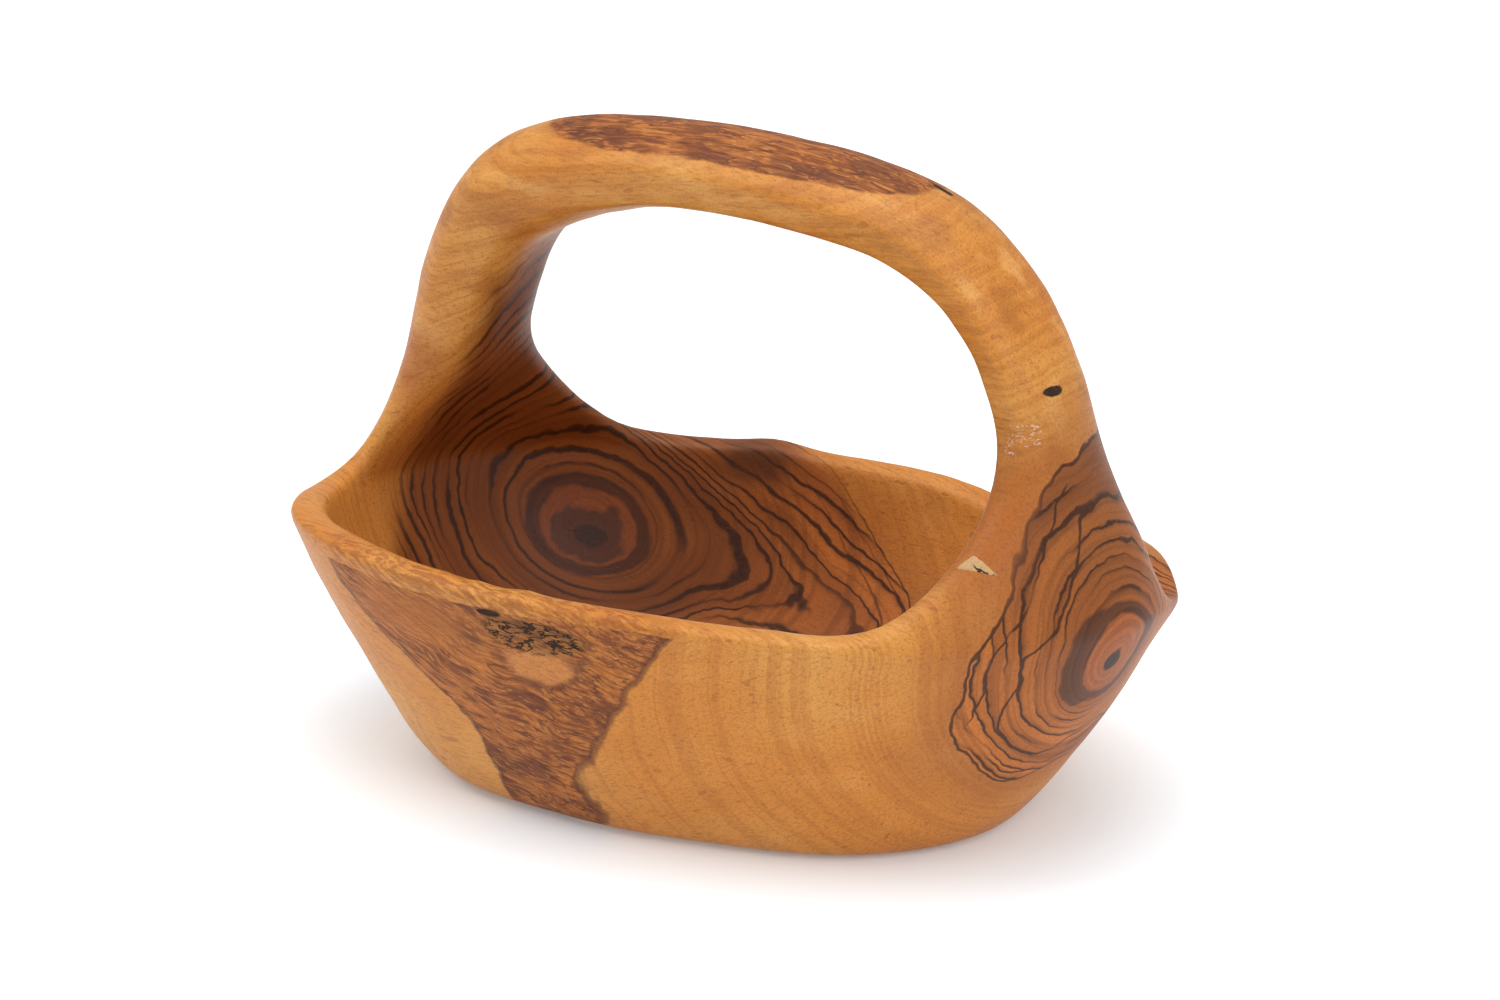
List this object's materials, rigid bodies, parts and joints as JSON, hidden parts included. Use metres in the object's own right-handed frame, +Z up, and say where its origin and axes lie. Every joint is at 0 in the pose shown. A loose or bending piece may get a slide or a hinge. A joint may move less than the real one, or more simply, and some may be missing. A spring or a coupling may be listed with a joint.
{
  "type": "handled wooden bowl",
  "caption": "Oval olive-wood bowl with an arched carrying handle carved from the same block, for yarn, fruit or bread.",
  "frame": {"origin": "on the flat base, under the middle of the bowl's overall length and width", "axes": "+X along the handle's arch, from its left foot to its right foot; +Y from the higher, front rim to the lower, back rim; +Z up"},
  "size_m": [0.1784, 0.1324, 0.1315],
  "materials": {
    "olive_wood": "oiled, satin",
    "filler": "sanded flush, matt"
  },
  "bodies": {
    "root": {"bowl": "olive_wood", "handle": "olive_wood", "knot_filler": "filler"}
  },
  "joints": []
}
